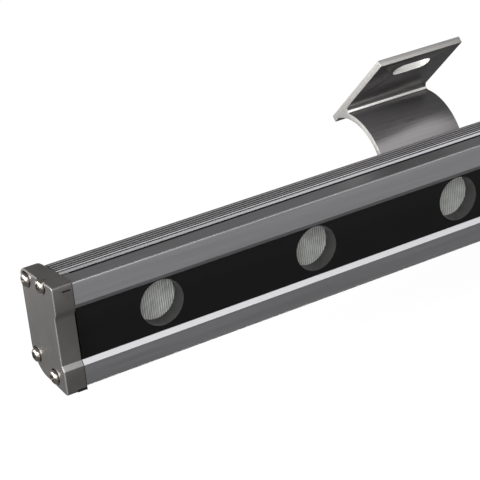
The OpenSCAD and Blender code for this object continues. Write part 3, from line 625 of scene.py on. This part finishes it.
dress(cap_finish, cap)
cap.data.materials.append(rim_highlight_finish)
highlighted = 0
for face in cap.data.polygons:
    place = face.center / MM
    in_seat = any(math.hypot(place.y - FRONT - depth, place.z - height) < SEAT_R + SEAT_EDGE
                  for depth, height in SCREW_PLACES)
    on_rim = (RIM_FACING[0] < face.normal.x < RIM_FACING[1] and place.x < cap_low.x + RIM_R
              and not in_seat)
    on_ledge = face.normal.y < -0.5 and face.normal.z > 0.3 and near(place.z, LEDGE_Z, 1.5)
    # the rim and the ledge get the painted highlight
    if on_rim or on_ledge:
        face.material_index = 1
        highlighted += 1
print("rubbed faces:", highlighted, "of", len(cap.data.polygons))

# %% [markdown]
# The right cap is the left one mirrored. Mirroring turns a mesh inside out, so its
# normals are worked out again. It has one hole more, for the cable gland.

# %% Right end cap
def mirrored_copy(piece, name):
    copy = bpy.data.objects.new(name, piece.data.copy())
    bpy.context.collection.objects.link(copy)
    edit(copy)
    bpy.ops.mesh.select_all(action="SELECT")
    bpy.ops.transform.resize(value=(-1, 1, 1), center_override=(0, 0, 0))
    bpy.ops.mesh.normals_make_consistent(inside=False)
    bpy.ops.object.mode_set(mode="OBJECT")
    return copy


GLAND_DEPTH, GLAND_HEIGHT, GLAND_R = 14.225, 24.35, 6.05
GLAND_BORE_FROM, GLAND_BORE_LENGTH = 6, 8
right_cap = mirrored_copy(cap, "right_end_cap_cast")
carve(right_cap, rod_piece(
    "tool", (-cap_low.x - GLAND_BORE_FROM, FRONT + GLAND_DEPTH, GLAND_HEIGHT), "X",
    GLAND_R, GLAND_BORE_LENGTH))
smooth(right_cap, SHARP_TURN)
hand_over(cap, "lamp", "cap_aluminium", None, "left_end_cap")
hand_over(right_cap, "lamp", "cap_aluminium", None, "right_end_cap")

# %% [markdown]
# The caps are held by pan head screws with a cross recess. One is modelled: a disc
# is extruded and drawn in ring by ring to its dome, two tapered blades cut the
# cross and leave it a darker steel, a painted shade, and its shank is joined on.

# %% Cap screws
HEAD_R, SHANK_R, SHANK_LENGTH, SHANK_SUNK = 3.25, 1.75, 13.0, 0.5
HEAD_RINGS = ((1.45, 3.25), (1.7, 3.2), (2.15, 2.95), (2.55, 2.45), (2.82, 1.75), (2.96, 0.9))
BLADE_LOW, BLADE_HIGH = (-2.3, -0.65, 1.2), (2.3, 0.65, 4)
BLADE_TAPER = (0.45, 0.7, 1)

bpy.ops.object.select_all(action="DESELECT")
bpy.ops.mesh.primitive_circle_add(vertices=40, radius=1.0 * MM, fill_type="NGON")
screw = settle("cap_screw")
edit(screw)
bpy.ops.mesh.select_all(action="SELECT")
bpy.ops.transform.resize(value=(HEAD_R,) * 3)
height, radius = 0.0, HEAD_R
for ring_height, ring_radius in HEAD_RINGS:
    bpy.ops.mesh.extrude_region_move(
        TRANSFORM_OT_translate={"value": mm(0, 0, ring_height - height)})
    bpy.ops.transform.resize(value=(ring_radius / radius, ring_radius / radius, 1))
    height, radius = ring_height, ring_radius
bpy.ops.mesh.select_all(action="SELECT")
bpy.ops.mesh.normals_make_consistent(inside=False)
bpy.ops.object.mode_set(mode="OBJECT")
dress(stainless, screw)
screw.data.materials.append(recess_shade_finish)
# the blades give the cross recess the darker steel, a painted shade
for turned in (0, math.pi / 2):
    blade = box_piece("tool", BLADE_LOW, BLADE_HIGH)
    dress(stainless, blade)
    blade.data.materials.append(recess_shade_finish)
    for face in blade.data.polygons:
        face.material_index = 1
    edit(blade)
    pick(blade, "FACE", lambda f, c: f.normal.z < -0.9)
    bpy.ops.transform.resize(value=BLADE_TAPER)
    bpy.ops.mesh.select_all(action="SELECT")
    bpy.ops.transform.rotate(value=turned, orient_axis="Z", center_override=(0, 0, 0))
    bpy.ops.object.mode_set(mode="OBJECT")
    carve(screw, blade)
carve(screw, rod_piece("tool", (0, 0, -SHANK_LENGTH), "Z",
                       SHANK_R, SHANK_LENGTH + SHANK_SUNK, SMALL_SIDES), "UNION")
soften(screw, 0.12, 40)
edit(screw)
bpy.ops.mesh.select_all(action="SELECT")
bpy.ops.transform.rotate(value=math.pi / 2, orient_axis="Y", center_override=(0, 0, 0))
bpy.ops.object.mode_set(mode="OBJECT")
print("screw along X from", round(min(v.co.x for v in screw.data.vertices) / MM, 1),
      "to", round(max(v.co.x for v in screw.data.vertices) / MM, 1))

# %% [markdown]
# The finished screw is copied to the four places of the left cap. No two screws
# stop at the same turn, so each copy is turned by another angle. The four are
# joined, as the CAD model has them in one node, and mirrored for the right cap.

# %% Screws to their places
def copy_at(piece, name, place, turned=0.0):
    """A copy with its own mesh, turned about X and moved to a place in mm."""
    copy = bpy.data.objects.new(name, piece.data.copy())
    bpy.context.collection.objects.link(copy)
    copy.data.transform(Matrix.Translation(mm(*place)) @ Matrix.Rotation(turned, 4, "X"))
    return copy


def join(name, pieces):
    only(pieces[0])
    for piece in pieces:
        piece.select_set(True)
    bpy.ops.object.join()
    pieces[0].name = pieces[0].data.name = name
    return pieces[0]


SCREW_TURNS = (0.35, 1.1, 0.7, 0.15)
left_screws = join("left_cap_screw_set", [
    copy_at(screw, "part", (cap_low.x + SEAT_DEPTH, FRONT + depth, height), turned)
    for (depth, height), turned in zip(SCREW_PLACES, SCREW_TURNS)])
right_screws = mirrored_copy(left_screws, "right_cap_screw_set")
bpy.data.objects.remove(screw)
hand_over(left_screws, "lamp", "stainless_steel", None, "left_cap_screws")
hand_over(right_screws, "lamp", "stainless_steel", None, "right_cap_screws")
smooth(left_screws, SHARP_TURN)
smooth(right_screws, SHARP_TURN)

# %% [markdown]
# The housing's CAD mesh is right already, so a copy of it only needs its doubled
# corners merged. The bottoms and walls of the cooling grooves get a painted shade,
# a duller and darker copy of the anodised grey, where hardly any light gets in. Such
# faces are found by how deep they lie under the rounded outline. The fins themselves
# get a painted shade too, a darker copy of the flat sides' grey.

# %% Housing
FLAT_TURN, CREASE_TURN = 0.3, 18
TOP_CORNER_R = 6.5
FIRST_GROOVE, FIRST_FIN, LAST_FIN = 9.0, 16.3, 19
WALL_DEPTH, CORNER_DEPTH, DEEPEST = 0.85, 0.5, 2.2


def depth_below(place):
    """How far in mm a place lies under the top, round corner or back, and the least of a groove."""
    over = Vector((place.y - (housing_high.y - TOP_CORNER_R),
                   place.z - (housing_high.z - TOP_CORNER_R)))
    if over.x > 0 and over.y > 0:
        return TOP_CORNER_R - over.length, CORNER_DEPTH
    return TOP_CORNER_R - max(over), WALL_DEPTH


housing_high = [corner / MM for corner in map(Vector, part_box("housing"))][1]
housing = bpy.data.objects.new("housing_dressed", nodes["housing"].data.copy())
bpy.context.collection.objects.link(housing)
tidy_mesh(housing, FLAT_TURN)
smooth(housing, CREASE_TURN)
dress(housing_finish, housing)
housing.data.materials.append(groove_shade_finish)
housing.data.materials.append(fin_shade_finish)
counts = [0, 0, 0]
for face in housing.data.polygons:
    place = face.center / MM
    depth, least = depth_below(place)
    among_fins = (place.y > FRONT + FIRST_GROOVE and place.z > housing_high.z - LAST_FIN
                  and abs(face.normal.x) < 0.5)
    # groove faces get the painted shade, and the fins a lighter painted shade
    if among_fins and least < depth < DEEPEST:
        face.material_index = 1
    elif among_fins and place.y > FRONT + FIRST_FIN:
        face.material_index = 2
    counts[face.material_index] += 1
hand_over(housing, "lamp", "anodised_aluminium", None, "housing")
print("plain, groove and fin faces:", counts)

# %% [markdown]
# Each bracket is cut from an extruded profile, so its long faces are anodised and
# smooth, and its sawn ends, its free edge and its slot are bare bright metal. The
# shining line in its inner corner is a painted highlight in the slot's finish. The
# CAD profile is right already. Its mesh is copied, its doubled corners are merged,
# its flat faces cleared, and a fine bevel breaks every sharp edge. The bare faces and
# the highlight are then picked by the way they face. The shoes get a finer bevel and the bracket's
# grey.

# %% Brackets and shoes
PLATE_ALONG = Vector((0, -0.743, 0.669))
PLATE_BACK = Vector((0, 0.669, 0.743))
CORNER_FACING = Vector((0, -0.82, 0.572))
BRACKET_EDGE, SHOE_EDGE = 0.3, 0.2
BRACKET_X = 281
SLOT_REACH, SLOT_INWARD = 12.0, (4, 20)
CORNER_INWARD, CORNER_DEEP = (40.5, 44), (3, 7)


def softened_copy(node, name, width, dissolve=0.5):
    copy = bpy.data.objects.new(name, nodes[node].data.copy())
    bpy.context.collection.objects.link(copy)
    tidy_mesh(copy, dissolve)
    soften(copy, width, 40)
    return copy


for side, centre_x in (("left", -BRACKET_X), ("right", BRACKET_X)):
    bracket = softened_copy(f"{side}_bracket", f"{side}_bracket_soft", BRACKET_EDGE)
    dress(bracket_finish, bracket)
    bracket.data.materials.append(sawn_finish)
    bracket.data.materials.append(bare_slot_and_highlight_finish)
    bare = 0
    plate_end = max(v.co.dot(PLATE_ALONG) for v in bracket.data.vertices) / MM
    plate_back = max(v.co.dot(PLATE_BACK) for v in bracket.data.vertices) / MM
    for face in bracket.data.polygons:
        place = face.center / MM
        inward = plate_end - place.dot(PLATE_ALONG)
        deep = plate_back - place.dot(PLATE_BACK)
        in_slot = (abs(place.x - centre_x) < SLOT_REACH
                   and SLOT_INWARD[0] < inward < SLOT_INWARD[1]
                   and abs(face.normal.dot(PLATE_BACK)) < 0.5)
        # painted highlight: a narrow band of the inner fillet gets the bright slot finish
        painted_corner_highlight = (CORNER_INWARD[0] < inward < CORNER_INWARD[1]
                     and CORNER_DEEP[0] < deep < CORNER_DEEP[1]
                     and face.normal.dot(CORNER_FACING) > 0.95)
        free_edge = inward < 0.5 and face.normal.dot(PLATE_ALONG) > 0.6
        if abs(face.normal.x) > 0.9 or free_edge or in_slot or painted_corner_highlight:
            face.material_index = 2 if in_slot or painted_corner_highlight else 1
            bare += 1
    hand_over(bracket, f"{side}_arm", "bracket_aluminium", None, f"{side}_bracket")
    print("bare faces:", bare, "of", len(bracket.data.polygons))
    shoe = softened_copy(f"{side}_hinge_shoe", f"{side}_hinge_shoe_soft", SHOE_EDGE)
    hand_over(shoe, f"{side}_carrier", "bracket_aluminium", bracket_finish, f"{side}_hinge_shoe")

# %% [markdown]
# The lenses are collimators: a disc with upright ribs, 1.1 mm apart, on a cone that
# gathers the light. The ribbed disc starts as a grid with eight columns to a rib.
# The grid is extruded to the disc's thickness, its front columns are pushed back by
# a cosine, and a rod trims it round. Real geometry is chosen over a bump, since the
# ribs show against the dark recess too.

# %% Lenses
LENS_R, RIM_T, RIB_DEPTH = 10.75, 1.8, 0.4
GRID_HALF = 11.0
RIB_STEPS = 8
STEPS = round(2 * GRID_HALF / RIB_GAP) * RIB_STEPS

first_low, first_high = [corner / MM for corner in map(Vector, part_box("lens_01"))]
lens_x, lens_z = (first_low.x + first_high.x) / 2, (first_low.z + first_high.z) / 2
bpy.ops.object.select_all(action="DESELECT")
bpy.ops.mesh.primitive_grid_add(
    x_subdivisions=STEPS, y_subdivisions=1, size=2 * GRID_HALF * MM,
    rotation=(math.pi / 2, 0, 0), location=mm(lens_x, first_low.y, lens_z))
lens = settle("ribbed_lens")
edit(lens)
bpy.ops.mesh.select_all(action="SELECT")
bpy.ops.mesh.extrude_region_move(TRANSFORM_OT_translate={"value": mm(0, RIM_T, 0)})
for phase in range(RIB_STEPS):
    push = RIB_DEPTH * (0.5 - 0.5 * math.cos(2 * math.pi * phase / RIB_STEPS))
    pick(lens, "VERT", lambda v, c: near(c[0].y, first_low.y, 0.001) and near(
        ((c[0].x - lens_x + GRID_HALF) / (RIB_GAP / RIB_STEPS) + 0.001) % RIB_STEPS, phase, 0.2))
    bpy.ops.transform.translate(value=mm(0, push, 0))
bpy.ops.mesh.select_all(action="SELECT")
bpy.ops.mesh.normals_make_consistent(inside=False)
bpy.ops.object.mode_set(mode="OBJECT")
carve(lens, rod_piece("tool", (lens_x, first_low.y - OVERRUN, lens_z), "Y",
                      LENS_R, OVERRUN + RIM_T, 64), "INTERSECT")
print("lens disc faces:", len(lens.data.polygons))

# %% [markdown]
# The cone behind the disc curves in to a small pocket over the LED. Its rings give
# a depth and a radius each, and a circle is extruded and scaled from ring to ring.
# The lens is made once and copied to the twelve places, and the first is removed.

# %% Lenses: cone, copies and places
CONE_RINGS = ((0, 9.6), (1.0, 9.25), (2.2, 8.5), (3.4, 7.3), (4.7, 5.6), (5.9, 3.6))
CONE_SUNK = 0.5
POCKET_R, POCKET_DEPTH = 2.7, 2.7
cone_start = first_low.y + RIM_T

bpy.ops.object.select_all(action="DESELECT")
bpy.ops.mesh.primitive_circle_add(
    vertices=48, radius=CONE_RINGS[0][1] * MM, fill_type="NGON",
    rotation=(math.pi / 2, 0, 0), location=mm(lens_x, cone_start - CONE_SUNK, lens_z))
cone = settle("cone")
edit(cone)
bpy.ops.mesh.select_all(action="SELECT")
depth, radius = -CONE_SUNK, CONE_RINGS[0][1]
for ring_depth, ring_radius in CONE_RINGS:
    bpy.ops.mesh.extrude_region_move(
        TRANSFORM_OT_translate={"value": mm(0, ring_depth - depth, 0)})
    share = ring_radius / radius
    bpy.ops.transform.resize(value=(share, 1, share),
                             center_override=mm(lens_x, cone_start, lens_z))
    depth, radius = ring_depth, ring_radius
bpy.ops.mesh.select_all(action="SELECT")
bpy.ops.mesh.normals_make_consistent(inside=False)
bpy.ops.object.mode_set(mode="OBJECT")
carve(cone, rod_piece("tool", (lens_x, cone_start + depth - POCKET_DEPTH, lens_z), "Y",
                      POCKET_R, POCKET_DEPTH + OVERRUN, SMALL_SIDES))
carve(lens, cone, "UNION")
smooth(lens, 25)
print("lens from", [round(min(v.co[k] for v in lens.data.vertices) / MM, 2) for k in range(3)],
      "to", [round(max(v.co[k] for v in lens.data.vertices) / MM, 2) for k in range(3)])

for node in sorted(n for n in nodes if n.startswith("lens_") and not n.startswith("lens_holder")):
    low, high = [corner / MM for corner in map(Vector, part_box(node))]
    piece = copy_at(lens, f"{node}_ribbed", ((low.x + high.x) / 2 - lens_x, 0, 0))
    hand_over(piece, "lamp", "lens_acrylic", lens_finish, node)
bpy.data.objects.remove(lens)

# %% [markdown]
# The lamp hangs a little above a plain pale floor, so that a bracket turned right
# down stays clear of it. The photograph's ground is pure white, so where the camera
# looks at the floor it adds a plain white glow, and only a share of it takes the
# softboxes' light and so keeps the lamp's shadow. What the lamp mirrors is a grey
# that starts dark beside the lamp and gets paler further out, a painted shade round
# the lamp, and light is thrown back on the lamp by a plain grey. From below the
# floor is clear, so that the underside can be looked at.

# %% Floor
FLOOR_SIZE = 30.0
FLOOR_DROP = 60 * MM
GLOW, SHADOW_SHARE = 1.07, 0.2
DARK_TO, PALE_FROM = 0.18, 0.52
DARK_SHEEN, PALE_SHEEN = 0.17, 1.1

bpy.ops.object.select_all(action="DESELECT")
bpy.ops.mesh.primitive_plane_add(size=FLOOR_SIZE,
                                 location=(0, 0, cad_box[0][2] - FLOOR_DROP))
floor = bpy.context.active_object
floor.name = "floor"
material, tree = new_finish("pale studio floor")
ray = add(tree, "ShaderNodeLightPath")
glow = add(tree, "ShaderNodeEmission", {"Color": (1, 1, 1, 1), "Strength": GLOW})
paint = add(tree, "ShaderNodeBsdfDiffuse", {"Color": linear("#f4f4f4")})
shown = add(tree, "ShaderNodeMixShader", {0: SHADOW_SHARE},
            {1: glow.outputs[0], 2: paint.outputs[0]})
grey = add(tree, "ShaderNodeBsdfDiffuse", {"Color": linear("#8a8a8a")})
place = add(tree, "ShaderNodeTexCoord").outputs["Object"]
across = add(tree, "ShaderNodeSeparateXYZ", links={0: place}).outputs["Y"]
away = add(tree, "ShaderNodeMath", {"operation": "ABSOLUTE"}, {0: across}).outputs[0]
# painted shade: what the lamp mirrors is darker near it and paler further out
paleness = add(tree, "ShaderNodeMapRange",
               {"From Min": DARK_TO, "From Max": PALE_FROM,
                "To Min": DARK_SHEEN, "To Max": PALE_SHEEN},
               {"Value": away})
sheen = add(tree, "ShaderNodeEmission", {"Color": (1, 1, 1, 1)},
            {"Strength": paleness.outputs["Result"]})
dull = add(tree, "ShaderNodeMixShader",
           links={0: ray.outputs["Is Glossy Ray"], 1: grey.outputs[0], 2: sheen.outputs[0]})
both = add(tree, "ShaderNodeMixShader",
           links={0: ray.outputs["Is Camera Ray"], 1: dull.outputs[0], 2: shown.outputs[0]})
below = add(tree, "ShaderNodeNewGeometry").outputs["Backfacing"]
gone = add(tree, "ShaderNodeBsdfTransparent")
end_finish(tree, add(tree, "ShaderNodeMixShader",
                     links={0: below, 1: both.outputs[0], 2: gone.outputs[0]}))
dress(material, floor)
print("floor at height in mm:", round(floor.location.z / MM, 1))

# %% [markdown]
# Four softboxes light the lamp: a large key high in front on the right, which
# the sloping edges mirror, a fill from beside the camera, which no flat face
# mirrors, one on the left for the end cap and one behind for the back. Together
# they are just strong enough for a colour to come out as it is written. The world
# around adds a dim grey, and is white where the camera sees it past the floor.

# %% Lights
def softbox(name, place, aim, width, height, power):
    data = bpy.data.lights.new(name, "AREA")
    data.shape = "RECTANGLE"
    data.size, data.size_y, data.energy = width, height, power
    lamp = bpy.data.objects.new(name, data)
    lamp.location = place
    lamp.rotation_mode = "QUATERNION"
    lamp.rotation_quaternion = (Vector(aim) - Vector(place)).to_track_quat("-Z", "Y")
    bpy.context.collection.objects.link(lamp)
    print(name, "at", place, "power in watts:", power)


softbox("key softbox", (0.73, -1.53, 1.52), (-0.35, 0, 0.03), 2.8, 1.35, 23)
softbox("fill softbox", (-1.7, -2.0, 1.3), (-0.4, 0, 0.03), 2.4, 2.0, 42)
softbox("left softbox", (-2.2, -0.2, 0.6), (-0.5, 0, 0.03), 1.5, 1.1, 68)
softbox("back softbox", (-2.4, 1.6, 0.8), (0.0, 0, 0.03), 1.4, 1.2, 26)

WORLD_GREY = 0.15

world = bpy.data.worlds.new("studio grey")
bpy.context.scene.world = world
world.use_nodes = True
tree = world.node_tree
tree.nodes.clear()
ray = add(tree, "ShaderNodeLightPath")
dim = add(tree, "ShaderNodeBackground",
          {"Color": (WORLD_GREY, WORLD_GREY, WORLD_GREY, 1), "Strength": 1.0})
white = add(tree, "ShaderNodeBackground", {"Color": (1, 1, 1, 1), "Strength": 1.0})
both = add(tree, "ShaderNodeMixShader",
           links={0: ray.outputs["Is Camera Ray"], 1: dim.outputs[0], 2: white.outputs[0]})
add(tree, "ShaderNodeOutputWorld", links={"Surface": both.outputs[0]})
